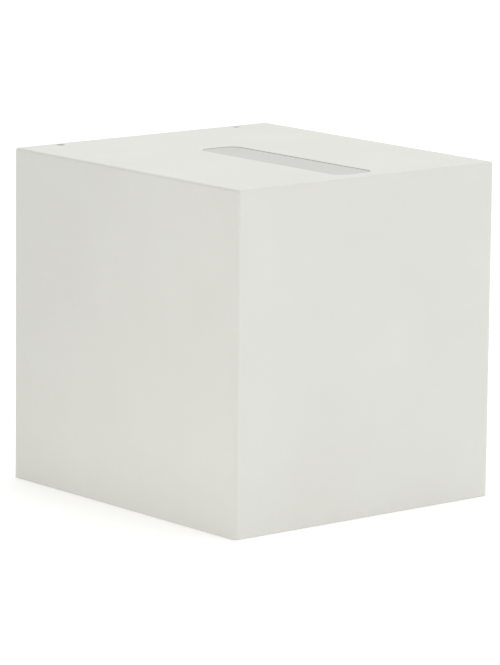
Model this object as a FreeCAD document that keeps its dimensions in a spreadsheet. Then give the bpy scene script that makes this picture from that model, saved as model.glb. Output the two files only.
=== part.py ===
import FreeCAD, Part
import Sketcher
import os

# A display plinth: a hollow box of painted board with mitred walls, a top laid over them with an opal
# pane let into a long round-cornered slot, and a base panel carried on cleats inside.
# Millimetres. +X is the right-hand side, -Y the front, +Z up. The origin is the middle of the footprint.

doc = FreeCAD.newDocument("display_plinth")

SIZES = {
    # Outside of the box
    "width": 339,
    "depth": 366,
    "height": 350,
    "board": 18,
    "corner_round": 4,
    "top_round": 3,
    # Slot in the top; its front end is level with the inner face of the front wall
    "slot_width": 50,
    "slot_length": 226,
    "slot_round": 15,
    "slot_ease": 0.3,
    # Pane that lies in the slot on a ledge, just below the top
    "pane_drop": 0.6,
    "pane_thick": 5,
    "pane_gap": 0.3,
    "pane_ease": 0.5,
    "ledge": 8,
    # Two sunk screws that hold the top to the back wall, the left-hand one driven deeper
    "recess_radius": 4.5,
    "left_recess_drop": 1.8,
    "right_recess_drop": 0.4,
    "top_screw_inset": 51,
    "top_screw_set_back": 12,
    "top_screw_length": 45,
    # Dowels between the top and the front and side walls
    "dowel_radius": 4,
    "dowel_length": 30,
    "dowel_rise": 11,
    "dowel_end_gap": 0.5,
    "dowel_inset": 60,
    # Loose tongues across the mitres
    "tongue_thick": 4,
    "tongue_wide": 20,
    "tongue_gap": 0.1,
    "tongue_inset": 6,
    "tongue_stop": 6,
    # Glue blocks in the corners
    "block_side": 22,
    "block_chamfer": 4,
    "block_top_gap": 1,
    # Base panel and the cleats that carry it
    "base_thick": 12,
    "base_lift": 6,
    "base_gap": 0.5,
    "cleat_side": 18,
    "cleat_end_gap": 1,
    "cleat_screw_inset": 30,
    "base_screw_inset": 60,
    # Countersunk wood screws
    "screw_radius": 2,
    "screw_head_radius": 4,
    "screw_head_thick": 2.4,
    "screw_point": 5,
    "drive_long": 4.4,
    "drive_wide": 1,
    "drive_deep": 1.6,
    "cleat_screw_length": 30,
    "base_screw_length": 25,
}

sheet = doc.addObject("Spreadsheet::Sheet", "Sizes")
for row, (alias, size) in enumerate(SIZES.items(), 1):
    sheet.set(f"A{row}", alias)
    sheet.set(f"B{row}", str(size))
    sheet.setAlias(f"B{row}", alias)
doc.recompute()

# Places that several pieces share, as expressions over the sheet.
HALF_X = "(Sizes.width / 2)"
HALF_Y = "(Sizes.depth / 2)"
INNER_X = "(Sizes.width / 2 - Sizes.board)"
INNER_Y = "(Sizes.depth / 2 - Sizes.board)"
WALL_TOP = "(Sizes.height - Sizes.board)"
BASE_TOP = "(Sizes.base_lift + Sizes.base_thick)"
DOWEL_FOOT = f"({WALL_TOP} + Sizes.dowel_rise - Sizes.dowel_length)"

UP = FreeCAD.Vector(0, 0, 1)
ACROSS = FreeCAD.Vector(1, 0, 0)
NEAR = 0.001

# Each wall as a turn about +Z from the front, with its half length and its reach from the middle,
# both given outside and inside.
WALLS = {
    "front": (0, HALF_X, HALF_Y, INNER_X, INNER_Y),
    "right": (90, HALF_Y, HALF_X, INNER_Y, INNER_X),
    "back": (180, HALF_X, HALF_Y, INNER_X, INNER_Y),
    "left": (270, HALF_Y, HALF_X, INNER_Y, INNER_X),
}

# Each corner as a turn about +Z from the front left one, with the signs of its x and y.
CORNERS = {
    "front_left": (0, "-", "-"),
    "front_right": (90, "+", "-"),
    "back_right": (180, "+", "+"),
    "back_left": (270, "-", "+"),
}


def bind(item, rules):
    """Tie an object's properties to expressions over the sheet."""
    for name, rule in rules.items():
        item.setExpression(name, rule)


def place(item, x="0", y="0", z="0", rotation=None):
    """Turn an object, and tie its position to expressions over the sheet."""
    if rotation:
        item.Placement.Rotation = rotation
    bind(item, {"Placement.Base.x": x, "Placement.Base.y": y, "Placement.Base.z": z})


def swing(angle, x, y):
    """The expressions for a point of the front wall once it is turned to another wall."""
    turned = {0: (x, y), 90: (f"-({y})", x), 180: (f"-({x})", f"-({y})"), 270: (y, f"-({x})")}
    return turned[angle]


def cut(name, base, tools):
    """A piece with a list of tools cut out of it."""
    tool = doc.addObject("Part::Compound", name + "_tools")
    tool.Links = tools
    result = doc.addObject("Part::Cut", name)
    result.Base = base
    result.Tool = tool
    return result


def group(name, members):
    """Identical fasteners kept together as one piece of several solids."""
    compound = doc.addObject("Part::Compound", name)
    compound.Links = members
    return compound


def make_cylinder(name, radius, height):
    """An upright cylinder from two expressions."""
    cylinder = doc.addObject("Part::Cylinder", name)
    bind(cylinder, {"Radius": radius, "Height": height})
    return cylinder


def make_cone(name, low_radius, high_radius, height):
    """An upright cone from three expressions."""
    cone = doc.addObject("Part::Cone", name)
    bind(cone, {"Radius1": low_radius, "Radius2": high_radius, "Height": height})
    return cone


def fix_point(sketch, line, x, y):
    """Tie a line's start in a sketch to expressions for its two coordinates."""
    for kind, rule in (("DistanceX", x), ("DistanceY", y)):
        index = sketch.addConstraint(Sketcher.Constraint(kind, -1, 1, line, 1, 1.0))
        sketch.setExpression(f"Constraints[{index}]", rule)


def draw_rectangle(body, name, low_x, high_x, low_y, high_y, lift="0"):
    """A sketch over a body's own XY plane: a rectangle from expressions for its four sides."""
    sketch = body.newObject("Sketcher::SketchObject", name)
    plane = next(item for item in body.Origin.OriginFeatures if item.Role == "XY_Plane")
    sketch.AttachmentSupport = [(plane, "")]
    sketch.MapMode = "FlatFace"
    sketch.setExpression("AttachmentOffset.Base.z", lift)
    corners = [FreeCAD.Vector(x, y, 0) for x, y in ((-1, -1), (1, -1), (1, 1), (-1, 1))]
    for index in range(4):
        sketch.addGeometry(Part.LineSegment(corners[index], corners[(index + 1) % 4]), False)
    for index in range(4):
        sketch.addConstraint(Sketcher.Constraint("Coincident", index, 2, (index + 1) % 4, 1))
        sketch.addConstraint(Sketcher.Constraint("Vertical" if index % 2 else "Horizontal", index))
    fix_point(sketch, 0, low_x, low_y)
    fix_point(sketch, 2, high_x, high_y)
    return sketch


def make_block(name, low_x, high_x, low_y, high_y, height):
    """A body that starts as a rectangular block; returns the body and the pad."""
    body = doc.addObject("PartDesign::Body", name)
    sketch = draw_rectangle(body, name + "_outline", low_x, high_x, low_y, high_y)
    pad = body.newObject("PartDesign::Pad", name + "_pad")
    pad.Profile = sketch
    pad.setExpression("Length", height)
    doc.recompute()
    return body, pad


def edges_where(feature, test):
    """Names of a feature's edges whose bounding box passes a test."""
    return [f"Edge{number}" for number, edge in enumerate(feature.Shape.Edges, 1) if test(edge.BoundBox)]


def is_upright(box):
    return box.XLength < NEAR and box.YLength < NEAR


def dress(body, kind, name, base, test, size_name, size):
    """A fillet or a chamfer on the edges of the feature before it that pass a test."""
    feature = body.newObject("PartDesign::" + kind, name)
    feature.Base = (base, edges_where(base, test))
    feature.setExpression(size_name, size)
    doc.recompute()
    return feature


# Countersunk screw that points up from the face of its head, before its cross recess is cut.
def make_screw_blank(name, length):
    head = make_cone(name + "_head", "Sizes.screw_head_radius", "Sizes.screw_radius",
                     "Sizes.screw_head_thick")
    shank = make_cylinder(name + "_shank", "Sizes.screw_radius",
                          f"{length} - Sizes.screw_head_thick - Sizes.screw_point")
    place(shank, z="Sizes.screw_head_thick")
    point = make_cone(name + "_point", "Sizes.screw_radius", "0", "Sizes.screw_point")
    place(point, z=f"{length} - Sizes.screw_point")
    blank = doc.addObject("Part::MultiFuse", name + "_blank")
    blank.Shapes = [head, shank, point]
    return blank


# Cross recess of the screws, two crossing slots sunk into the head.
def make_drive():
    slots = []
    for name, along_x, along_y in (("drive_x", "Sizes.drive_long", "Sizes.drive_wide"),
                                   ("drive_y", "Sizes.drive_wide", "Sizes.drive_long")):
        slot = doc.addObject("Part::Box", name)
        bind(slot, {"Length": along_x, "Width": along_y, "Height": "Sizes.drive_deep"})
        place(slot, f"-{along_x} / 2", f"-{along_y} / 2")
        slots.append(slot)
    drive = doc.addObject("Part::MultiFuse", "drive")
    drive.Shapes = slots
    return drive


# One screw at a place, with the hole that it fills.
def drive_screw(name, blank, drive, x, y, z, rotation=None):
    screw = doc.addObject("Part::Cut", name)
    screw.Base = blank
    screw.Tool = drive
    hole = group(name + "_hole", [blank])
    for item in (screw, hole):
        place(item, x, y, z, rotation)
    return screw, hole


# A slot cut upwards from a level in the top board, set in from the slot's outline by a margin.
def cut_slot(body, name, margin, lift):
    before = body.Shape.Volume
    half = f"(Sizes.slot_width / 2 - {margin})"
    slot = body.newObject("PartDesign::Pocket", name)
    slot.Profile = draw_rectangle(body, name + "_outline", f"-{half}", half, f"-{INNER_Y} + {margin}",
                                  f"-{INNER_Y} + Sizes.slot_length - {margin}", lift)
    slot.Type = "ThroughAll"
    slot.Reversed = True
    doc.recompute()
    if body.Shape.Volume >= before:
        raise RuntimeError(name + " removes nothing")
    return slot


# Top board with eased edges, and the slot with a ledge in it for the pane.
def make_top_board():
    board = sheet.get("board")
    slot_width = sheet.get("slot_width")
    ledge_level = board - sheet.get("pane_drop") - sheet.get("pane_thick")

    def in_slot(box):
        return max(-box.XMin, box.XMax) < slot_width

    def at_top(box):
        return box.ZMin > board - NEAR

    def under_ledge(box):
        return box.ZMax < ledge_level + NEAR

    body, pad = make_block("top_board", f"-{HALF_X}", HALF_X, f"-{HALF_Y}", HALF_Y, "Sizes.board")
    dress(body, "Fillet", "top_corners", pad, is_upright, "Radius", "Sizes.corner_round")
    slot = cut_slot(body, "slot", "0", "Sizes.board - Sizes.pane_drop - Sizes.pane_thick")
    dress(body, "Fillet", "slot_ends", slot, lambda box: is_upright(box) and in_slot(box),
          "Radius", "Sizes.slot_round")
    window = cut_slot(body, "window", "Sizes.ledge", "0")
    window_ends = dress(body, "Fillet", "window_ends", window,
                        lambda box: is_upright(box) and in_slot(box) and under_ledge(box),
                        "Radius", "Sizes.slot_round - Sizes.ledge")
    rim = dress(body, "Fillet", "top_rim", window_ends, lambda box: at_top(box) and not in_slot(box),
                "Radius", "Sizes.top_round")
    dress(body, "Fillet", "slot_rim", rim, lambda box: at_top(box) and in_slot(box),
          "Radius", "Sizes.slot_ease")
    place(body, z=WALL_TOP)
    return body


# Pane that lies on the ledge, clear of the slot's sides all round.
def make_slot_pane():
    thick = sheet.get("pane_thick")
    half = "(Sizes.slot_width / 2 - Sizes.pane_gap)"
    body, pad = make_block("slot_pane", f"-{half}", half, f"-{INNER_Y} + Sizes.pane_gap",
                           f"-{INNER_Y} + Sizes.slot_length - Sizes.pane_gap", "Sizes.pane_thick")
    ends = dress(body, "Fillet", "pane_ends", pad, is_upright,
                 "Radius", "Sizes.slot_round - Sizes.pane_gap")
    dress(body, "Chamfer", "pane_rim", ends, lambda box: box.ZMin > thick - NEAR, "Size", "Sizes.pane_ease")
    place(body, z="Sizes.height - Sizes.pane_drop - Sizes.pane_thick")
    return body


# Outside of the four walls as one block, which rounds their mitred corners.
def make_wall_outside():
    body, pad = make_block("wall_outside", f"-{HALF_X}", HALF_X, f"-{HALF_Y}", HALF_Y, WALL_TOP)
    dress(body, "Fillet", "wall_corners", pad, is_upright, "Radius", "Sizes.corner_round")
    return body


# One wall before its holes: mitred at both ends, with its outer corners rounded.
def make_wall_blank(side, outside):
    angle, half, reach, inner_half, inner_reach = WALLS[side]
    wedge = doc.addObject("Part::Wedge", side + "_wedge")
    bind(wedge, {"Xmin": f"-{half}", "Xmax": half, "X2min": f"-{inner_half}", "X2max": inner_half,
                 "Ymin": f"-{reach}", "Ymax": f"-{inner_reach}",
                 "Zmin": "0", "Zmax": WALL_TOP, "Z2min": "0", "Z2max": WALL_TOP})
    wedge.Placement.Rotation = FreeCAD.Rotation(UP, angle)
    blank = doc.addObject("Part::Common", side + "_blank")
    blank.Base = wedge
    blank.Tool = outside
    return blank


# Loose tongue across one mitre, with the groove that holds it.
def make_tongue(corner):
    angle, sign_x, sign_y = CORNERS[corner]
    x = f"{sign_x}({INNER_X} + Sizes.tongue_inset)"
    y = f"{sign_y}({INNER_Y} + Sizes.tongue_inset)"
    rotation = FreeCAD.Rotation(UP, angle - 45)
    wide = "Sizes.tongue_wide / 2"
    thick = "Sizes.tongue_thick / 2"
    tongue, _ = make_block("corner_tongue_" + corner, f"-({wide})", wide, f"-({thick})", thick,
                           f"{WALL_TOP} - 2 * Sizes.tongue_stop")
    place(tongue, x, y, "Sizes.tongue_stop", rotation)
    wide = f"({wide} + Sizes.tongue_gap)"
    thick = f"({thick} + Sizes.tongue_gap)"
    groove, _ = make_block("corner_groove_" + corner, f"-{wide}", wide, f"-{thick}", thick, WALL_TOP)
    place(groove, x, y, "0", rotation)
    return tongue, groove


# Glue block in one corner, its free edge chamfered.
def make_corner_block(corner):
    angle, sign_x, sign_y = CORNERS[corner]
    side = sheet.get("block_side")
    body, pad = make_block("corner_block_" + corner, "0", "Sizes.block_side", "0", "Sizes.block_side",
                           f"{WALL_TOP} - Sizes.block_top_gap - {BASE_TOP}")
    dress(body, "Chamfer", "block_edge_" + corner, pad,
          lambda box: is_upright(box) and min(box.XMin, box.YMin) > side - NEAR,
          "Size", "Sizes.block_chamfer")
    place(body, f"{sign_x}{INNER_X}", f"{sign_y}{INNER_Y}", BASE_TOP, FreeCAD.Rotation(UP, angle))
    return body


# Softwood cleat along the foot of one wall, between the corner blocks.
def make_cleat_blank(side):
    angle, _, _, inner_half, inner_reach = WALLS[side]
    half = f"({inner_half} - Sizes.block_side - Sizes.cleat_end_gap)"
    body, _ = make_block(side + "_cleat_blank", f"-{half}", half, f"-{inner_reach}",
                         f"-({inner_reach} - Sizes.cleat_side)", "Sizes.cleat_side")
    place(body, z=BASE_TOP, rotation=FreeCAD.Rotation(UP, angle))
    return body


# Dowels along the top edge of one wall, each with its hole.
def make_dowels(side):
    angle, half, reach, _, _ = WALLS[side]
    dowels = []
    holes = []
    for sign in ("-", "+"):
        name = f"{side}_dowel_{len(dowels)}"
        x, y = swing(angle, f"{sign}({half} - Sizes.dowel_inset)", f"-({reach} - Sizes.board / 2)")
        dowel = make_cylinder(name, "Sizes.dowel_radius", "Sizes.dowel_length")
        place(dowel, x, y, DOWEL_FOOT)
        dowels.append(dowel)
        hole = make_cylinder(name + "_hole", "Sizes.dowel_radius",
                             "Sizes.dowel_length + 2 * Sizes.dowel_end_gap")
        place(hole, x, y, f"{DOWEL_FOOT} - Sizes.dowel_end_gap")
        holes.append(hole)
    return dowels, holes


drive = make_drive()
top_blank = make_screw_blank("top_screw", "Sizes.top_screw_length")
cleat_blank = make_screw_blank("cleat_screw", "Sizes.cleat_screw_length")
base_blank = make_screw_blank("base_screw", "Sizes.base_screw_length")

pieces = {}
wall_tools = {side: [] for side in WALLS}
top_tools = []

# Tongues, grooves and glue blocks, corner by corner. Each groove is in the walls at both its sides.
for corner in CORNERS:
    tongue, groove = make_tongue(corner)
    pieces["corner_tongue_" + corner] = tongue
    pieces["corner_block_" + corner] = make_corner_block(corner)
    for side in corner.split("_"):
        wall_tools[side].append(groove)

# Dowels in the front and side walls.
top_dowels = []
for side in ("front", "right", "left"):
    dowels, holes = make_dowels(side)
    top_dowels += dowels
    wall_tools[side] += holes
    top_tools += holes

# Screws down through the top into the back wall, their heads on the floors of round recesses.
top_screws = []
for side, sign in (("left", "-"), ("right", "+")):
    name = side + "_top_screw"
    x = f"{sign}({HALF_X} - Sizes.top_screw_inset)"
    y = f"{HALF_Y} - Sizes.top_screw_set_back"
    drop = f"Sizes.{side}_recess_drop"
    floor = f"Sizes.height - {drop}"
    screw, hole = drive_screw(name, top_blank, drive, x, y, floor, FreeCAD.Rotation(ACROSS, 180))
    recess = make_cylinder(name + "_recess", "Sizes.recess_radius", drop)
    place(recess, x, y, floor)
    top_screws.append(screw)
    wall_tools["back"].append(hole)
    top_tools += [hole, recess]

# Cleats, with screws out into the walls and up from the base panel.
cleat_screws = []
base_screws = []
base_tools = []
for side, (angle, _, _, inner_half, inner_reach) in WALLS.items():
    cleat_tools = []
    outward = FreeCAD.Rotation(UP, angle) * FreeCAD.Rotation(ACROSS, 90)
    for sign in ("-", "+"):
        x, y = swing(angle, f"{sign}({inner_half} - Sizes.block_side - Sizes.cleat_screw_inset)",
                     f"-({inner_reach} - Sizes.cleat_side)")
        screw, hole = drive_screw(f"{side}_cleat_screw_{sign}", cleat_blank, drive, x, y,
                                  f"{BASE_TOP} + Sizes.cleat_side / 2", outward)
        cleat_screws.append(screw)
        cleat_tools.append(hole)
        wall_tools[side].append(hole)
        x, y = swing(angle, f"{sign}({inner_half} - Sizes.block_side - Sizes.base_screw_inset)",
                     f"-({inner_reach} - Sizes.cleat_side / 2)")
        screw, hole = drive_screw(f"{side}_base_screw_{sign}", base_blank, drive, x, y, "Sizes.base_lift")
        base_screws.append(screw)
        base_tools.append(hole)
        cleat_tools.append(hole)
    pieces["base_cleat_" + side] = cut("base_cleat_" + side, make_cleat_blank(side), cleat_tools)

# Walls, top and base, with every hole that they need.
wall_outside = make_wall_outside()
for side in WALLS:
    pieces[side + "_panel"] = cut(side + "_panel", make_wall_blank(side, wall_outside), wall_tools[side])
pieces["top_panel"] = cut("top_panel", make_top_board(), top_tools)
pieces["slot_pane"] = make_slot_pane()

base_half_x = f"({INNER_X} - Sizes.base_gap)"
base_half_y = f"({INNER_Y} - Sizes.base_gap)"
base_board, _ = make_block("base_board", f"-{base_half_x}", base_half_x, f"-{base_half_y}", base_half_y,
                           "Sizes.base_thick")
place(base_board, z="Sizes.base_lift")
pieces["base_panel"] = cut("base_panel", base_board, base_tools)

pieces["top_dowels"] = group("top_dowels", top_dowels)
pieces["top_screws"] = group("top_screws", top_screws)
pieces["cleat_screws"] = group("cleat_screws", cleat_screws)
pieces["base_screws"] = group("base_screws", base_screws)

doc.recompute()

for item in doc.Objects:
    if "Invalid" in item.State or "Error" in item.State:
        raise RuntimeError(f"{item.Label} failed: {item.State}")
for name, piece in pieces.items():
    piece.Label = name
    if piece.Shape.isNull() or not piece.Shape.isValid():
        raise RuntimeError(f"{name} has no valid shape")

os.makedirs("parts", exist_ok=True)
for name, piece in pieces.items():
    piece.Shape.exportStep(f"parts/{name}.step")
    print(name, len(piece.Shape.Solids), round(piece.Shape.Volume), piece.Shape.BoundBox)
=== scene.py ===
import math

import bmesh
import bpy
from mathutils import Matrix, Vector


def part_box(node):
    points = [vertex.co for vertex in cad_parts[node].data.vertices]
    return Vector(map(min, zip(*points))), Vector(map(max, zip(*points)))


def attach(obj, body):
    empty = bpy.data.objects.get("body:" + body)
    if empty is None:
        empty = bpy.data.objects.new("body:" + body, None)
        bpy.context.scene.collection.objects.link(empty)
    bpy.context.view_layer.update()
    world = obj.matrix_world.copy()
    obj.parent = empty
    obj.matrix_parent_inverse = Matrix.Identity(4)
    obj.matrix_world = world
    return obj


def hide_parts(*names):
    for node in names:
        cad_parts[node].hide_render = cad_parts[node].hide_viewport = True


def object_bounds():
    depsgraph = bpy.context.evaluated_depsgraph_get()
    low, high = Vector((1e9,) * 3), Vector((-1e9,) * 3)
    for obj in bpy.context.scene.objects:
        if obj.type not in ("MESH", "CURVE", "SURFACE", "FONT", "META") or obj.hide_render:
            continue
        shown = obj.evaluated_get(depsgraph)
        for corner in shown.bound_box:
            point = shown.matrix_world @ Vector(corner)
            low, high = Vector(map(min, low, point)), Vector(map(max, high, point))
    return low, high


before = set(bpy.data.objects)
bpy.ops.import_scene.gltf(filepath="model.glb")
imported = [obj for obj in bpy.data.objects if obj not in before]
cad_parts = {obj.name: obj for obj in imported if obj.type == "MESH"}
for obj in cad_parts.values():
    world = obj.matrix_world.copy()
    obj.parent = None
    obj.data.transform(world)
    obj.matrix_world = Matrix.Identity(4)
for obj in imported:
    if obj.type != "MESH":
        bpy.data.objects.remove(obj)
cad_low, cad_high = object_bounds()

# Sizes in metres that the frame doesn't state. The screws, the dowels, the camera and the light have theirs
# in their own sections, and every other size and place is read from the frame.
MM = 0.001
CORNER_ROUND = 4 * MM
TOP_ROUND = 3 * MM
SLOT_EASE = 0.3 * MM
PANE_GAP = 0.3 * MM
PANE_EASE = 0.2 * MM
FOOT_EASE = 0.6 * MM
ARRIS = 0.25 * MM
TIMBER_EASE = 1.0 * MM
TONGUE_THICK = 4 * MM
TONGUE_GAP = 0.1 * MM
HOLE_END_GAP = 0.5 * MM
RECESS_LIP = 0.5 * MM
BLOCK_CHAMFER = 4 * MM
ARC_STEPS = 8

# A screw's shank as a share of its head's width, and the depth of the cone under a head as a share of the
# head's radius.
SHANK_SHARE = 0.5
CONE_SHARE = 0.6

# Vertices this near are the same one, and places this near are in line.
SAME_VERTEX = 0.01 * MM
IN_LINE = 0.02 * MM

# Degrees about +Z from the front wall to each wall, and the way out along the front right corner's mitre.
TURNS = {"front": 0, "right": 90, "back": 180, "left": 270}
DIAGONAL = Vector((1, -1)).normalized()


# ---------------------------------------------------------------- outlines

def arc(centre, radius, start, end, steps=ARC_STEPS):
    """Points of an arc in the plane, angles in degrees, both ends included."""
    points = []
    for step in range(steps + 1):
        angle = math.radians(start + (end - start) * step / steps)
        points.append(Vector((centre[0] + radius * math.cos(angle), centre[1] + radius * math.sin(angle))))
    return points


def circle(centre, radius, steps=32):
    """A closed round outline, counter-clockwise."""
    return arc(centre, radius, 0, 360 * (steps - 1) / steps, steps - 1)


def rectangle(half_long, half_wide):
    """The corners of a rectangle about the origin, counter-clockwise."""
    return [Vector((x * half_long, y * half_wide)) for x, y in ((-1, -1), (1, -1), (1, 1), (-1, 1))]


def rounded_rectangle(low, high, radius, steps=ARC_STEPS):
    """A closed outline, counter-clockwise, with four quarter-round corners."""
    points = arc((high[0] - radius, low[1] + radius), radius, -90, 0, steps)
    points += arc((high[0] - radius, high[1] - radius), radius, 0, 90, steps)
    points += arc((low[0] + radius, high[1] - radius), radius, 90, 180, steps)
    points += arc((low[0] + radius, low[1] + radius), radius, 180, 270, steps)
    return points


def soften(corners, radius, steps=3):
    """A convex counter-clockwise outline with each of its corners rounded."""
    points = []
    for index, corner in enumerate(corners):
        before = (corner - corners[index - 1]).normalized()
        after = (corners[(index + 1) % len(corners)] - corner).normalized()
        turn = math.atan2(before.cross(after), before.dot(after))
        back = radius * math.tan(turn / 2)
        start = corner - before * back
        centre = start + Vector((-before.y, before.x)) * radius
        heading = math.degrees(math.atan2(before.y, before.x)) - 90
        points += arc(centre, radius, heading, heading + math.degrees(turn), steps)
    return points


def inset(outline, distance):
    """A counter-clockwise outline moved inwards by a distance, point for point."""
    moved = []
    count = len(outline)
    for index, point in enumerate(outline):
        before = (point - outline[index - 1]).normalized()
        after = (outline[(index + 1) % count] - point).normalized()
        bisector = Vector((-before.y - after.y, before.x + after.x))
        moved.append(point + bisector * (distance * 2 / bisector.length_squared))
    return moved


def round_up(height, radius, steps=ARC_STEPS):
    """Heights and insets of a rim's lower quarter round, from the underside to the side."""
    angles = [math.pi / 2 * step / steps for step in range(steps + 1)]
    return [(height + radius * (1 - math.cos(angle)), radius * (1 - math.sin(angle))) for angle in angles]


def round_over(height, radius, steps=ARC_STEPS):
    """Heights and insets of a rim's upper quarter round, from the side to the top."""
    angles = [math.pi / 2 * step / steps for step in range(steps + 1)]
    return [(height - radius * (1 - math.sin(angle)), radius * (1 - math.cos(angle))) for angle in angles]


def eased(low, high, radius, steps):
    """Heights and insets of a side from one height to another, both of its rims rounded."""
    return round_up(low, radius, steps) + round_over(high, radius, steps)


# ---------------------------------------------------------------- meshes

def ring(bm, outline, height):
    """An outline's vertices at one height."""
    return [bm.verts.new((point.x, point.y, height)) for point in outline]


def bridge(bm, lower, upper, slots=0):
    """Quads between two closed rings of the same number of points, in one material or one for each side."""
    count = len(lower)
    for index in range(count):
        after = (index + 1) % count
        face = bm.faces.new((lower[index], lower[after], upper[after], upper[index]))
        face.material_index = slots if isinstance(slots, int) else slots[index]


def cap(bm, rings, slot=0):
    """A flat face inside the first ring and outside the others."""
    edges = []
    for loop in rings:
        for index, vertex in enumerate(loop):
            other = loop[(index + 1) % len(loop)]
            edges.append(bm.edges.get((vertex, other)) or bm.edges.new((vertex, other)))
    made = bmesh.ops.triangle_fill(bm, use_beauty=True, use_dissolve=False, edges=edges)
    for face in made["geom"]:
        if isinstance(face, bmesh.types.BMFace):
            face.material_index = slot


def stack(bm, rings, slots=0):
    """Joins a list of rings, each to the next; returns the first and the last."""
    for lower, upper in zip(rings, rings[1:]):
        bridge(bm, lower, upper, slots)
    return rings[0], rings[-1]


def close(bm, ends):
    """A flat face over each end of a stack."""
    for end in ends:
        cap(bm, [end])


def rise(bm, outline, profile, slots=0):
    """The side of an outline through a profile of heights and insets."""
    return stack(bm, [ring(bm, inset(outline, distance), height) for height, distance in profile], slots)


def bore(bm, centre, profile, slot=0, steps=32):
    """A round hole through a profile of heights and radii; returns its first and last rings."""
    return stack(bm, [ring(bm, circle(centre, radius, steps), height) for height, radius in profile], slot)


def blind_bore(bm, centre, radius, mouth, bottom, slot):
    """A round hole with a flat bottom; returns the ring of its mouth."""
    opening, end = bore(bm, centre, [(mouth, radius), (bottom, radius)], slot)
    cap(bm, [end], slot)
    return opening


def make_piece(name, bm, materials, node, smooth_angle=40, flat_faces=True):
    """Turns a mesh into a piece that rides on the part and stands for its CAD node."""
    bmesh.ops.recalc_face_normals(bm, faces=bm.faces)
    mesh = bpy.data.meshes.new(name)
    bm.to_mesh(mesh)
    bm.free()
    piece = bpy.data.objects.new(name, mesh)
    bpy.context.scene.collection.objects.link(piece)
    for material in materials:
        mesh.materials.append(material)
    mesh.shade_smooth()
    mesh.set_sharp_from_angle(angle=math.radians(smooth_angle))
    if flat_faces:
        weighted = piece.modifiers.new("flat_faces", "WEIGHTED_NORMAL")
        weighted.keep_sharp = True
    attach(piece, "root")
    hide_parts(node)


def add_mesh(bm, part, matrix):
    """Adds a finished part to a mesh, moved by a matrix."""
    bmesh.ops.recalc_face_normals(part, faces=part.faces)
    part.transform(matrix)
    mesh = bpy.data.meshes.new("part")
    part.to_mesh(mesh)
    part.free()
    bm.from_mesh(mesh)
    bpy.data.meshes.remove(mesh)


def solids(node):
    """The boxes of a CAD node's separate solids, as pairs of lowest and highest corners."""
    bm = bmesh.new()
    bm.from_mesh(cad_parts[node].data)
    bmesh.ops.remove_doubles(bm, verts=bm.verts, dist=SAME_VERTEX)
    left = set(bm.verts)
    boxes = []
    while left:
        reached = [left.pop()]
        for vertex in reached:
            for edge in vertex.link_edges:
                other = edge.other_vert(vertex)
                if other in left:
                    left.discard(other)
                    reached.append(other)
        low = Vector([min(vertex.co[axis] for vertex in reached) for axis in range(3)])
        high = Vector([max(vertex.co[axis] for vertex in reached) for axis in range(3)])
        boxes.append((low, high))
    bm.free()
    return sorted(boxes, key=lambda box: (round(box[0].z, 4), round(box[0].y, 4), round(box[0].x, 4)))


def middle(box):
    """The middle of a box."""
    return (box[0] + box[1]) / 2


def half_width(box, axis=0):
    """Half of a box's size along one axis, such as a dowel's or a screw head's radius."""
    return (box[1][axis] - box[0][axis]) / 2


# ---------------------------------------------------------------- materials

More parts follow.
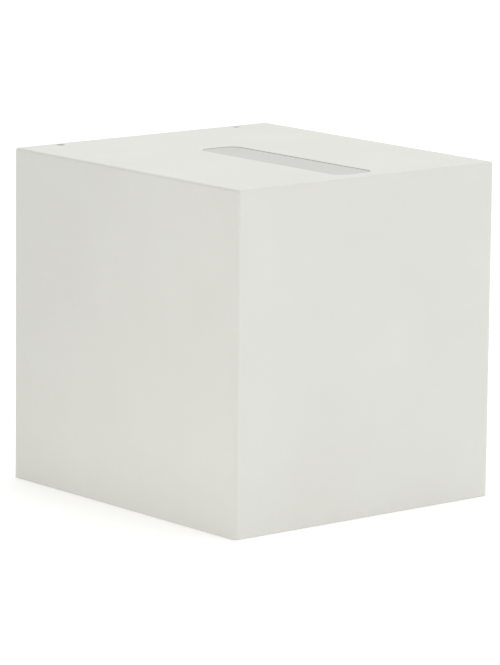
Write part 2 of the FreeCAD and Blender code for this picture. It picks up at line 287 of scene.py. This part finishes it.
class Shader:
    """A node material under construction, with short ways to add the nodes that repeat."""

    def __init__(self, name):
        self.material = bpy.data.materials.new(name)
        self.material.use_nodes = True
        self.tree = self.material.node_tree
        self.surface = self.tree.nodes["Principled BSDF"]
        self.place = self.add("ShaderNodeTexCoord").outputs["Object"]

    def add(self, kind, **settings):
        """A new node with some of its settings changed."""
        node = self.tree.nodes.new(kind)
        for name, value in settings.items():
            setattr(node, name, value)
        return node

    def link(self, source, target):
        self.tree.links.new(source, target)

    def stretched(self, scale):
        """Object coordinates scaled by axis, to stretch a pattern along the grain."""
        mapping = self.add("ShaderNodeMapping")
        mapping.inputs["Scale"].default_value = scale
        self.link(self.place, mapping.inputs["Vector"])
        return mapping.outputs["Vector"]

    def noise(self, scale, detail=3, roughness=0.5, vector=None, distortion=0):
        """A value from 0 to 1 that varies about scale times in a metre."""
        node = self.add("ShaderNodeTexNoise")
        node.inputs["Scale"].default_value = scale
        node.inputs["Detail"].default_value = detail
        node.inputs["Roughness"].default_value = roughness
        node.inputs["Distortion"].default_value = distortion
        self.link(vector or self.place, node.inputs["Vector"])
        return node.outputs["Fac"]

    def ramp(self, source, stops):
        """Colours along a value, given as pairs of position and colour."""
        node = self.add("ShaderNodeValToRGB")
        elements = node.color_ramp.elements
        while len(elements) < len(stops):
            elements.new(1)
        for element, (position, colour) in zip(elements, stops):
            element.position = position
            element.color = (*colour, 1)
        self.link(source, node.inputs["Fac"])
        return node.outputs["Color"]

    def spread(self, source, low, high):
        """A value from 0 to 1 stretched to run from low to high."""
        node = self.add("ShaderNodeMapRange")
        node.inputs["To Min"].default_value = low
        node.inputs["To Max"].default_value = high
        self.link(source, node.inputs["Value"])
        return node.outputs["Result"]

    def mix(self, factor, first, second, blend="MIX"):
        """Two colours mixed by a number or by another node."""
        node = self.add("ShaderNodeMix", data_type="RGBA", blend_type=blend)
        # Sockets go by number here, because the node has several of each name.
        for value, socket in ((factor, node.inputs[0]), (first, node.inputs[6]), (second, node.inputs[7])):
            if isinstance(value, (int, float)):
                socket.default_value = value
            elif isinstance(value, tuple):
                socket.default_value = (*value, 1)
            else:
                self.link(value, socket)
        return node.outputs[2]

    def band(self, axis, place, width):
        """A soft line across one axis: 0 at a place, 1 from a width away on."""
        split = self.add("ShaderNodeSeparateXYZ")
        self.link(self.place, split.inputs["Vector"])
        offset = self.add("ShaderNodeMath", operation="SUBTRACT")
        self.link(split.outputs[axis], offset.inputs[0])
        offset.inputs[1].default_value = place
        distance = self.add("ShaderNodeMath", operation="ABSOLUTE")
        self.link(offset.outputs["Value"], distance.inputs[0])
        node = self.add("ShaderNodeMapRange", interpolation_type="SMOOTHSTEP")
        node.inputs["From Max"].default_value = width
        self.link(distance.outputs["Value"], node.inputs["Value"])
        return node.outputs["Result"]

    def bump(self, height, distance, strength, under=None):
        """A relief as deep as a distance in metres, on top of another one where given."""
        node = self.add("ShaderNodeBump")
        node.inputs["Strength"].default_value = strength
        node.inputs["Distance"].default_value = distance
        self.link(height, node.inputs["Height"])
        if under:
            self.link(under, node.inputs["Normal"])
        return node.outputs["Normal"]

    def finish(self, colour, roughness, normal, **settings):
        """The finished material; settings name more of its sockets, with _ for each space."""
        self.link(colour, self.surface.inputs["Base Color"])
        if isinstance(roughness, (int, float)):
            self.surface.inputs["Roughness"].default_value = roughness
        else:
            self.link(roughness, self.surface.inputs["Roughness"])
        self.link(normal, self.surface.inputs["Normal"])
        for name, value in settings.items():
            self.surface.inputs[name.replace("_", " ")].default_value = value
        return self.material


PAINT = (0.720, 0.718, 0.684)
PAINT_LIGHT = (0.731, 0.730, 0.698)
PAINT_DULL = (0.709, 0.705, 0.669)
SPECK_DULL = (0.57, 0.565, 0.53)
SPECK_LIGHT = (0.78, 0.78, 0.76)
OPAL_DULL = (0.523, 0.522, 0.492)
OPAL_LIGHT = (0.537, 0.536, 0.506)
FIBRE_DARK = (0.20, 0.125, 0.065)
FIBRE_BROWN = (0.36, 0.245, 0.140)
FIBRE_PALE = (0.50, 0.37, 0.235)
ZINC_GREY = (0.46, 0.45, 0.42)
ZINC_BRIGHT = (0.62, 0.61, 0.59)
ZINC_YELLOW = (0.70, 0.66, 0.54)
FLOOR_DULL = (0.955, 0.955, 0.952)
FLOOR_LIGHT = (0.965, 0.965, 0.963)
FLOOR_GLOW = 0.175

# What a colour is multiplied by, where a pattern darkens it.
BOARD_SHADE = (0.88, 0.86, 0.84)
FIBRE_SHADE = (0.84, 0.80, 0.74)
WHITE = (1.0, 1.0, 1.0)


def make_paint(joint_height):
    """Off-white eggshell paint laid on with a short roller: faint clouds, fine stipple and long soft waves,
    and a hairline where the filled joint under the top has moved a little."""
    shader = Shader("eggshell_paint")
    clouds = shader.noise(9, detail=4, roughness=0.6)
    colour = shader.ramp(clouds, [(0.3, PAINT_DULL), (0.5, PAINT), (0.7, PAINT_LIGHT)])
    specks = shader.noise(1400, detail=2)
    speckle = shader.ramp(specks, [(0.35, SPECK_DULL), (0.65, SPECK_LIGHT)])
    colour = shader.mix(0.05, colour, speckle)
    waves = shader.bump(shader.noise(14, detail=2), distance=0.25 * MM, strength=0.35)
    rolled = shader.noise(620, roughness=0.55)
    stipple = shader.bump(rolled, distance=0.035 * MM, strength=0.8, under=waves)
    joint = shader.band("Z", joint_height, width=0.5 * MM)
    hairline = shader.bump(joint, distance=0.02 * MM, strength=0.5, under=stipple)
    roughness = shader.spread(shader.noise(180, detail=2), low=0.46, high=0.60)
    return shader.finish(colour, roughness, hairline, Specular_IOR_Level=0.35)


def make_opal():
    """Satin opal acrylic: milky, very even, with a fine etched surface and a few faint wiping marks."""
    shader = Shader("opal_acrylic")
    colour = shader.ramp(shader.noise(12), [(0.3, OPAL_DULL), (0.7, OPAL_LIGHT)])
    wiped = shader.noise(60, detail=4, roughness=0.6, vector=shader.stretched((1, 0.12, 1)))
    roughness = shader.spread(wiped, low=0.34, high=0.48)
    etched = shader.bump(shader.noise(2600, detail=2), distance=0.008 * MM, strength=0.6)
    return shader.finish(colour, roughness, etched, Specular_IOR_Level=0.45)


def make_board():
    """Bare medium density fibreboard: fine flecks and short fibres, a little cloudy."""
    shader = Shader("bare_fibreboard")
    flecks = shader.noise(2200, detail=4, roughness=0.7)
    colour = shader.ramp(flecks, [(0.30, FIBRE_DARK), (0.50, FIBRE_BROWN), (0.72, FIBRE_PALE)])
    clouds = shader.ramp(shader.noise(16), [(0.3, BOARD_SHADE), (0.7, WHITE)])
    colour = shader.mix(1.0, colour, clouds, "MULTIPLY")
    felt = shader.noise(1500, detail=4, roughness=0.65)
    normal = shader.bump(felt, distance=0.06 * MM, strength=0.7)
    return shader.finish(colour, 0.82, normal, Specular_IOR_Level=0.2)


# How far each axis is squeezed for a grain that runs along one of them, and fibres for each year ring.
GRAIN_SQUEEZE = {"X": (0.05, 1, 1), "Y": (1, 0.05, 1), "Z": (1, 1, 0.05)}
FIBRES = 14


def make_timber(name, axis, pale, mid, dark, rings):
    """Planed timber with its grain along one axis: year rings with dark edges, and fine fibres."""
    shader = Shader(name)
    along = shader.stretched(GRAIN_SQUEEZE[axis])
    year = shader.noise(rings, detail=2, roughness=0.4, vector=along, distortion=0.6)
    colour = shader.ramp(year, [(0.38, pale), (0.50, mid), (0.55, dark), (0.60, pale)])
    fibres = shader.noise(rings * FIBRES, detail=4, roughness=0.7, vector=along)
    fibre_tone = shader.ramp(fibres, [(0.3, FIBRE_SHADE), (0.7, WHITE)])
    colour = shader.mix(1.0, colour, fibre_tone, "MULTIPLY")
    normal = shader.bump(fibres, distance=0.08 * MM, strength=0.6)
    roughness = shader.spread(fibres, low=0.55, high=0.75)
    return shader.finish(colour, roughness, normal, Specular_IOR_Level=0.3)


def make_zinc():
    """Bright zinc plating, slightly cloudy, with fine drawing marks."""
    shader = Shader("zinc_plate")
    clouds = shader.noise(420, detail=4, roughness=0.6)
    colour = shader.ramp(clouds, [(0.3, ZINC_GREY), (0.55, ZINC_BRIGHT), (0.75, ZINC_YELLOW)])
    normal = shader.bump(shader.noise(3800, detail=2), distance=0.01 * MM, strength=0.5)
    roughness = shader.spread(shader.noise(900), low=0.28, high=0.46)
    return shader.finish(colour, roughness, normal, Metallic=1.0)


def make_floor_finish():
    """Pale studio floor that glows a little, so that it stays white all over the view."""
    shader = Shader("studio_floor")
    colour = shader.ramp(shader.noise(1.5), [(0.3, FLOOR_DULL), (0.7, FLOOR_LIGHT)])
    normal = shader.bump(shader.noise(60, detail=2), distance=0.2 * MM, strength=0.1)
    return shader.finish(colour, 0.9, normal, Specular_IOR_Level=0.0,
                         Emission_Color=(*WHITE, 1), Emission_Strength=FLOOR_GLOW)


# Pale, middle and dark wood.
PINE = ((0.62, 0.44, 0.25), (0.55, 0.36, 0.18), (0.40, 0.22, 0.09))
BIRCH = ((0.60, 0.45, 0.28), (0.52, 0.37, 0.21), (0.36, 0.22, 0.11))
BEECH = ((0.56, 0.36, 0.20), (0.50, 0.30, 0.16), (0.38, 0.21, 0.10))

wall_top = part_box("top_panel")[0].z
paint = make_paint(wall_top)
opal = make_opal()
board = make_board()
pine = {axis: make_timber(f"pine_{axis.lower()}", axis, *PINE, rings=190) for axis in "XYZ"}
birch = make_timber("birch_ply", "Z", *BIRCH, rings=700)
beech = make_timber("beech", "Z", *BEECH, rings=420)
zinc = make_zinc()


# ---------------------------------------------------------------- painted board

# Material slots of a painted board.
PAINTED, BARE = 0, 1


def window_outline():
    """The window under the pane, from the underside of the top: its corners and its corner radius."""
    pane_low, pane_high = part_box("slot_pane")
    points = []
    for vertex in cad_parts["top_panel"].data.vertices:
        point = vertex.co
        under_pane = pane_low.x < point.x < pane_high.x and pane_low.y < point.y < pane_high.y
        if under_pane and abs(point.z - wall_top) < ARRIS:
            points.append(point)
    x_high = max(point.x for point in points)
    y_low = min(point.y for point in points)
    y_high = max(point.y for point in points)
    radius = min(point.y for point in points if point.x > x_high - IN_LINE) - y_low
    return (-x_high, y_low), (x_high, y_high), radius


def make_top_board():
    """The top, with the slot and its ledge, the two screws' recesses, and holes for screws and dowels."""
    low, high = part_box("top_panel")
    pane_low, pane_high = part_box("slot_pane")
    window_low, window_high, window_round = window_outline()
    ledge = pane_high.x + PANE_GAP - window_high[0]
    window = rounded_rectangle(window_low, window_high, window_round, 2 * ARC_STEPS)
    bm = bmesh.new()
    outer_low, outer_high = rise(bm, rounded_rectangle(low, high, CORNER_ROUND),
                                 [(low.z, 0)] + round_over(high.z, TOP_ROUND))
    # The slot's profile widens from the window to the ledge and then to the eased rim.
    rim = [(height, -ledge - distance) for height, distance in round_over(high.z, SLOT_EASE, 4)]
    seat = [(low.z, -ARRIS), (low.z + ARRIS, 0), (pane_low.z, 0), (pane_low.z, -ledge)]
    rings = [ring(bm, inset(window, distance), height) for height, distance in seat + rim]
    stack(bm, rings[:len(seat)], BARE)
    stack(bm, rings[len(seat) - 1:], PAINTED)
    unders = [outer_low, rings[0]]
    overs = [outer_high, rings[-1]]
    for screw in solids("top_screws"):
        head = half_width(screw)
        shank = head * SHANK_SHARE
        recess = head + RECESS_LIP
        bottom = screw[1].z
        throat = bottom - CONE_SHARE * head
        profile = [(low.z, shank), (throat, shank), (bottom, head), (bottom, recess)]
        rim = [(height, recess + distance) for height, distance in round_over(high.z, ARRIS, 4)]
        entry, mouth = bore(bm, middle(screw), profile + rim, steps=40)
        unders.append(entry)
        overs.append(mouth)
    for dowel in solids("top_dowels"):
        bottom = dowel[1].z + HOLE_END_GAP
        unders.append(blind_bore(bm, middle(dowel), half_width(dowel), low.z, bottom, BARE))
    cap(bm, unders, BARE)
    cap(bm, overs, PAINTED)
    make_piece("top_board", bm, [paint, board], "top_panel")


def make_pane():
    """The pane, its corners round about the same centres as the window's."""
    low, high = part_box("slot_pane")
    window_low, _, window_round = window_outline()
    radius = window_round + window_low[0] - low.x
    bm = bmesh.new()
    profile = round_up(low.z, ARRIS, 3) + [(high.z - PANE_EASE, 0), (high.z, PANE_EASE)]
    close(bm, rise(bm, rounded_rectangle(low, high, radius, 2 * ARC_STEPS), profile))
    make_piece("opal_pane", bm, [opal], "slot_pane", smooth_angle=30)


def joint_measures():
    """The tongues' width, and how far along a mitre from the inner corner their middles are."""
    low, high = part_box("corner_tongue_front_left")
    inner_corner = Vector((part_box("left_panel")[1].x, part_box("front_panel")[1].y))
    wide = (high.x - low.x) * math.sqrt(2) - TONGUE_THICK
    return wide, (middle((low, high)).xy - inner_corner).length


def wall_outline(half, reach, inner_half, inner_reach, ease):
    """The plan of a wall as it lies at the front: its outer face set in by an ease, rounded as far as each
    mitre, and a groove across each mitre. Returns the points, and the material slot after each of them."""
    tongue_wide, tongue_middle = joint_measures()
    groove = TONGUE_THICK / 2 + TONGUE_GAP
    into_wall = Vector((-1, -1)).normalized() * (tongue_wide / 2 + TONGUE_GAP)
    seat = Vector((inner_half, -inner_reach))
    far_side = seat + DIAGONAL * (tongue_middle + groove)
    near_side = seat + DIAGONAL * (tongue_middle - groove)
    outer = arc((half - CORNER_ROUND, CORNER_ROUND - reach), CORNER_ROUND - ease, -90, -45)
    bare = [far_side, far_side + into_wall, near_side + into_wall, near_side, seat]
    right_end = outer + bare
    left_end = [Vector((-point.x, point.y)) for point in reversed(right_end)]
    slots = [PAINTED] * (len(outer) - 1) + [BARE] * (2 * len(bare) + 1) + [PAINTED] * len(outer)
    return right_end + left_end, slots


def make_wall(side):
    """A wall built as if at the front and turned to its place, painted outside and bare elsewhere."""
    turn = Matrix.Rotation(math.radians(TURNS[side]), 4, "Z")
    back = turn.inverted()
    inner_x, inner_y = -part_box("left_panel")[1].x, -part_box("front_panel")[1].y
    if side in ("front", "back"):
        measures = (cad_high.x, cad_high.y, inner_x, inner_y)
    else:
        measures = (cad_high.y, cad_high.x, inner_y, inner_x)
    _, reach, inner_half, inner_reach = measures
    bm = bmesh.new()
    rings = []
    for height, ease in round_up(cad_low.z, FOOT_EASE, 4) + [(wall_top, 0)]:
        outline, slots = wall_outline(*measures, ease)
        rings.append(ring(bm, outline, height))
    under, over = stack(bm, rings, slots)
    mouths = [over]
    for node, share in (("top_dowels", 1), ("top_screws", SHANK_SHARE)):
        for box in solids(node):
            centre = back @ middle(box)
            if -reach < centre.y < -inner_reach and abs(centre.x) < inner_half:
                radius = half_width(box) * share
                mouths.append(blind_bore(bm, centre, radius, wall_top, box[0].z - HOLE_END_GAP, BARE))
    cap(bm, [under], BARE)
    cap(bm, mouths, BARE)
    bm.transform(turn)
    make_piece(side + "_wall", bm, [paint, board], side + "_panel")


# ---------------------------------------------------------------- screws

# PLAIN_SHARE is how much of a screw behind its head has no thread, and SCREW_SPIN is the degrees from one
# screw's drive to the next one's.
SCREW_RIM = 0.25 * MM
THREAD_PITCH = 1.6 * MM
THREAD_DEPTH = 0.55 * MM
THREAD_STEPS = 6
THREAD_SHARPNESS = 2.2
PLAIN_SHARE = 0.3
SCREW_SIDES = 20
SCREW_SPIN = 37
POINT_LENGTH = 5 * MM
HEAD_THICK = 2.4 * MM
DRIVE_LONG = 4.4 * MM
DRIVE_WIDE = 1.0 * MM
DRIVE_DEEP = 1.6 * MM
DRIVE_TAPER = 0.2 * MM


def screw_hole(bm, centre, head, mouth, end):
    """A countersunk hole from the face that a screw's head is in; returns its first and last rings."""
    shank = head * SHANK_SHARE
    profile = [(mouth, head), (mouth + SCREW_RIM, head), (mouth + HEAD_THICK, shank), (end, shank)]
    return bore(bm, centre, profile)


def cross(long, wide):
    """A cross-shaped outline, counter-clockwise."""
    points = []
    for quarter in range(4):
        turn = Matrix.Rotation(math.pi / 2 * quarter, 2)
        for x, y in ((long / 2, -wide / 2), (long / 2, wide / 2), (wide / 2, wide / 2)):
            points.append(turn @ Vector((x, y)))
    return points


def make_screw(length, head):
    """A countersunk wood screw that points up from the face of its head, with a rolled thread."""
    bm = bmesh.new()
    shank = head * SHANK_SHARE
    face = ring(bm, circle((0, 0), head - SCREW_RIM, SCREW_SIDES), 0)
    rim = ring(bm, circle((0, 0), head, SCREW_SIDES), SCREW_RIM)
    neck = ring(bm, circle((0, 0), shank, SCREW_SIDES), HEAD_THICK)
    thread_start = HEAD_THICK + (length - HEAD_THICK) * PLAIN_SHARE
    plain_end = ring(bm, circle((0, 0), shank, SCREW_SIDES), thread_start - THREAD_PITCH / 2)
    rings = [face, rim, neck, plain_end]
    height = thread_start
    while height < length:
        taper = min(1.0, (length - height) / POINT_LENGTH)
        points = []
        for side in range(SCREW_SIDES):
            phase = (height / THREAD_PITCH - side / SCREW_SIDES) % 1.0
            ridge = max(0.0, 1 - abs(2 * phase - 1) * THREAD_SHARPNESS)
            radius = (shank - THREAD_DEPTH * (1 - ridge)) * taper
            angle = 2 * math.pi * side / SCREW_SIDES
            points.append(Vector((radius * math.cos(angle), radius * math.sin(angle))))
        rings.append(ring(bm, points, height))
        height += THREAD_PITCH / THREAD_STEPS
    _, end = stack(bm, rings)
    tip = bm.verts.new((0, 0, length))
    for index in range(SCREW_SIDES):
        bm.faces.new((end[index], end[(index + 1) % SCREW_SIDES], tip))
    drive = cross(DRIVE_LONG, DRIVE_WIDE)
    mouth, bottom = rise(bm, drive, [(0, 0), (DRIVE_DEEP, DRIVE_TAPER)])
    cap(bm, [face, mouth])
    cap(bm, [bottom])
    return bm


def make_screws(node):
    """All the screws of a node, each pointing into the wood that holds it."""
    bm = bmesh.new()
    for number, box in enumerate(solids(node)):
        size = box[1] - box[0]
        axis = max(range(3), key=lambda index: size[index])
        centre = middle(box)
        forward = Vector((0, 0, 0))
        if axis == 2:
            forward.z = -1 if node == "top_screws" else 1
        else:
            forward[axis] = math.copysign(1, centre[axis])
        start = centre - forward * size[axis] / 2
        turn = forward.to_track_quat("Z", "Y").to_matrix().to_4x4()
        spin = Matrix.Rotation(math.radians(SCREW_SPIN * number), 4, "Z")
        part = make_screw(size[axis], min(size) / 2)
        add_mesh(bm, part, Matrix.Translation(start) @ turn @ spin)
    make_piece(node + "_threaded", bm, [zinc], node, smooth_angle=50, flat_faces=False)


# ---------------------------------------------------------------- inside

def make_base_panel():
    """The base with its underside's countersunk holes."""
    low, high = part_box("base_panel")
    bm = bmesh.new()
    under, over = rise(bm, rounded_rectangle(low, high, ARRIS, 2), eased(low.z, high.z, ARRIS, 3))
    unders, overs = [under], [over]
    for screw in solids("base_screws"):
        mouth, end = screw_hole(bm, middle(screw), half_width(screw), low.z, high.z)
        unders.append(mouth)
        overs.append(end)
    cap(bm, unders)
    cap(bm, overs)
    make_piece("base_board", bm, [board], "base_panel")


def make_cleat(side):
    """A cleat built lying on its back and turned to its wall, with its countersunk screw holes."""
    node = "base_cleat_" + side
    low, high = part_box(node)
    size = high - low
    along_x = side in ("front", "back")
    half_long = (size.x if along_x else size.y) / 2
    half_deep = (size.y if along_x else size.x) / 2
    half_high = size.z / 2
    turn = Matrix.Rotation(math.radians(TURNS[side]), 4, "Z") @ Matrix.Rotation(math.radians(90), 4, "X")
    place = Matrix.Translation(middle((low, high))) @ turn
    bm = bmesh.new()
    outline = soften(rectangle(half_long, half_high), TIMBER_EASE + ARRIS, 4)
    back, front = rise(bm, outline, eased(-half_deep, half_deep, TIMBER_EASE, 4))
    backs, fronts = [back], [front]
    # Of all the cleats' screws, this cleat's are the ones inside its outline and not far from its back.
    for screw in solids("cleat_screws"):
        centre = place.inverted() @ middle(screw)
        if abs(centre.x) < half_long and abs(centre.y) < half_high and abs(centre.z) < 4 * half_deep:
            mouth, end = screw_hole(bm, centre, half_width(screw, 2), -half_deep, half_deep)
            backs.append(mouth)
            fronts.append(end)
    cap(bm, backs)
    cap(bm, fronts)
    bm.transform(place)
    make_piece("cleat_" + side, bm, [pine["X" if along_x else "Y"]], node)


def make_corner_block(corner):
    """A planed block; the corner that points into the box is chamfered."""
    node = "corner_block_" + corner
    low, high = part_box(node)
    centre = middle((low, high))
    signs = Vector((math.copysign(1, centre.x), math.copysign(1, centre.y)))
    half = half_width((low, high))
    cut = half - BLOCK_CHAMFER
    corners = [Vector((half, half)), Vector((-half, half)), Vector((-half, -cut)), Vector((-cut, -half)),
               Vector((half, -half))]
    placed = [Vector((centre.x + point.x * signs.x, centre.y + point.y * signs.y)) for point in corners]
    if signs.x * signs.y < 0:
        placed.reverse()
    bm = bmesh.new()
    close(bm, rise(bm, soften(placed, TIMBER_EASE + ARRIS, 4), eased(low.z, high.z, TIMBER_EASE, 4)))
    make_piece("glue_block_" + corner, bm, [pine["Z"]], node)


def make_tongue(corner):
    """A strip of plywood across a mitre, its long edges eased."""
    node = "corner_tongue_" + corner
    low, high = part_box(node)
    centre = middle((low, high))
    half_wide = joint_measures()[0] / 2
    half_thick = TONGUE_THICK / 2
    turn = Matrix.Rotation(math.radians(-45 if centre.x * centre.y > 0 else 45), 2)
    placed = [centre.xy + turn @ point for point in rectangle(half_wide, half_thick)]
    bm = bmesh.new()
    close(bm, rise(bm, soften(placed, 2 * ARRIS), eased(low.z, high.z, ARRIS, 3)))
    make_piece("ply_tongue_" + corner, bm, [birch], node)


DOWEL_FLUTES = 18
FLUTE_STEPS = 4
FLUTE_DEPTH = 0.3 * MM
DOWEL_CHAMFER = 1 * MM


def make_dowels():
    """Fluted dowels with chamfered ends."""
    bm = bmesh.new()
    around = DOWEL_FLUTES * FLUTE_STEPS
    for low, high in solids("top_dowels"):
        centre = middle((low, high))
        radius = half_width((low, high))
        rings = []
        for height, pull in ((low.z, DOWEL_CHAMFER), (low.z + DOWEL_CHAMFER, 0),
                             (high.z - DOWEL_CHAMFER, 0), (high.z, DOWEL_CHAMFER)):
            points = []
            for step in range(around):
                depth = FLUTE_DEPTH if step % FLUTE_STEPS == 0 else 0
                angle = 2 * math.pi * step / around
                reach = radius - pull - depth
                spoke = Vector((math.cos(angle), math.sin(angle)))
                points.append(centre.xy + spoke * reach)
            rings.append(ring(bm, points, height))
        close(bm, stack(bm, rings))
    make_piece("fluted_dowels", bm, [beech], "top_dowels", smooth_angle=30)


make_top_board()
make_pane()
for side in TURNS:
    make_wall(side)
    make_cleat(side)
for corner in ("front_left", "front_right", "back_right", "back_left"):
    make_corner_block(corner)
    make_tongue(corner)
make_base_panel()
make_dowels()
for node in ("top_screws", "cleat_screws", "base_screws"):
    make_screws(node)


# ---------------------------------------------------------------- camera, floor and light

AZIMUTH = math.radians(-129.70)
ELEVATION = math.radians(10.50)
ROLL = math.radians(0.62)
CAMERA_DISTANCE = 4.480
LENS = 234.2
SHIFT_RIGHT = -9.3 * MM
SHIFT_UP = -4.1 * MM
FLOOR_REACH = 40.0
FLOOR_GAP = 0.1 * MM


def make_camera():
    """A long lens off the front left corner, a little above, aimed near the middle of the box."""
    size = cad_high - cad_low
    back = Vector((math.cos(AZIMUTH) * math.cos(ELEVATION), math.sin(AZIMUTH) * math.cos(ELEVATION),
                   math.sin(ELEVATION)))
    right = Vector((0, 0, 1)).cross(back).normalized()
    up = back.cross(right)
    aim = Vector((0, (size.x - size.y) / 2, size.x / 2)) + right * SHIFT_RIGHT + up * SHIFT_UP
    rolled_right = right * math.cos(ROLL) + up * math.sin(ROLL)
    rolled_up = up * math.cos(ROLL) - right * math.sin(ROLL)
    data = bpy.data.cameras.new("camera")
    data.lens = LENS
    data.clip_end = 3 * FLOOR_REACH
    camera = bpy.data.objects.new("camera", data)
    rotation = Matrix((rolled_right, rolled_up, back)).transposed()
    camera.matrix_world = Matrix.Translation(aim + back * CAMERA_DISTANCE) @ rotation.to_4x4()
    bpy.context.scene.collection.objects.link(camera)
    bpy.context.scene.camera = camera


def make_floor():
    """A plane far wider than the view, just clear of the plinth's foot."""
    bm = bmesh.new()
    bm.faces.new(ring(bm, rectangle(FLOOR_REACH, FLOOR_REACH), cad_low.z - FLOOR_GAP))
    mesh = bpy.data.meshes.new("floor")
    bm.to_mesh(mesh)
    bm.free()
    mesh.materials.append(make_floor_finish())
    floor = bpy.data.objects.new("floor", mesh)
    bpy.context.scene.collection.objects.link(floor)


# The sky's strength: its middle value, how it grows along each axis, and the least that it falls to.
SKY_MIDDLE = 0.705
SKY_SLOPE = Vector((0.48, 0.02, 0.505))
SKY_LEAST = 0.06
SKY_COLOUR = (1, 1, 0.99, 1)


def make_world():
    """A white studio all round, brightest above and to the right, and dimmest on the left-hand side."""
    world = bpy.data.worlds.new("studio")
    world.use_nodes = True
    tree = world.node_tree
    background = tree.nodes["Background"]
    place = tree.nodes.new("ShaderNodeTexCoord")
    slope = tree.nodes.new("ShaderNodeVectorMath")
    slope.operation = "DOT_PRODUCT"
    slope.inputs[1].default_value = SKY_SLOPE
    tree.links.new(place.outputs["Generated"], slope.inputs[0])
    total = tree.nodes.new("ShaderNodeMath")
    total.inputs[1].default_value = SKY_MIDDLE
    tree.links.new(slope.outputs["Value"], total.inputs[0])
    held = tree.nodes.new("ShaderNodeMath")
    held.operation = "MAXIMUM"
    held.inputs[1].default_value = SKY_LEAST
    tree.links.new(total.outputs["Value"], held.inputs[0])
    tree.links.new(held.outputs["Value"], background.inputs["Strength"])
    background.inputs["Color"].default_value = SKY_COLOUR
    bpy.context.scene.world = world


LAMP_COLOUR = (1.0, 0.975, 0.87)


def make_lamp(name, stand_off, along, height, aim_along, aim_height, size, energy):
    """A soft rectangle of light off the left-hand wall, aimed at it, that the camera doesn't see."""
    wall = cad_low.x
    place = Vector((wall - stand_off, along, height))
    aim = Vector((wall, aim_along, aim_height))
    data = bpy.data.lights.new(name, "AREA")
    data.shape = "RECTANGLE"
    data.size, data.size_y = size
    data.energy = energy
    data.color = LAMP_COLOUR
    lamp = bpy.data.objects.new(name, data)
    turn = (place - aim).to_track_quat("Z", "Y").to_matrix().to_4x4()
    lamp.matrix_world = Matrix.Translation(place) @ turn
    lamp.visible_camera = False
    bpy.context.scene.collection.objects.link(lamp)


def make_wall_lamps():
    """One lamp near the left-hand wall's front edge, and a low strip along its foot."""
    near_front = cad_low.y + 0.04
    make_lamp("side_lamp", stand_off=0.32, along=near_front - 0.02, height=0.28, aim_along=near_front,
              aim_height=0.24, size=(0.20, 0.34), energy=0.105)
    make_lamp("foot_lamp", stand_off=0.16, along=-0.04, height=0.02, aim_along=-0.04,
              aim_height=0.01, size=(0.42, 0.03), energy=0.042)


make_camera()
make_floor()
make_world()
make_wall_lamps()
bpy.context.scene.view_settings.view_transform = "Standard"
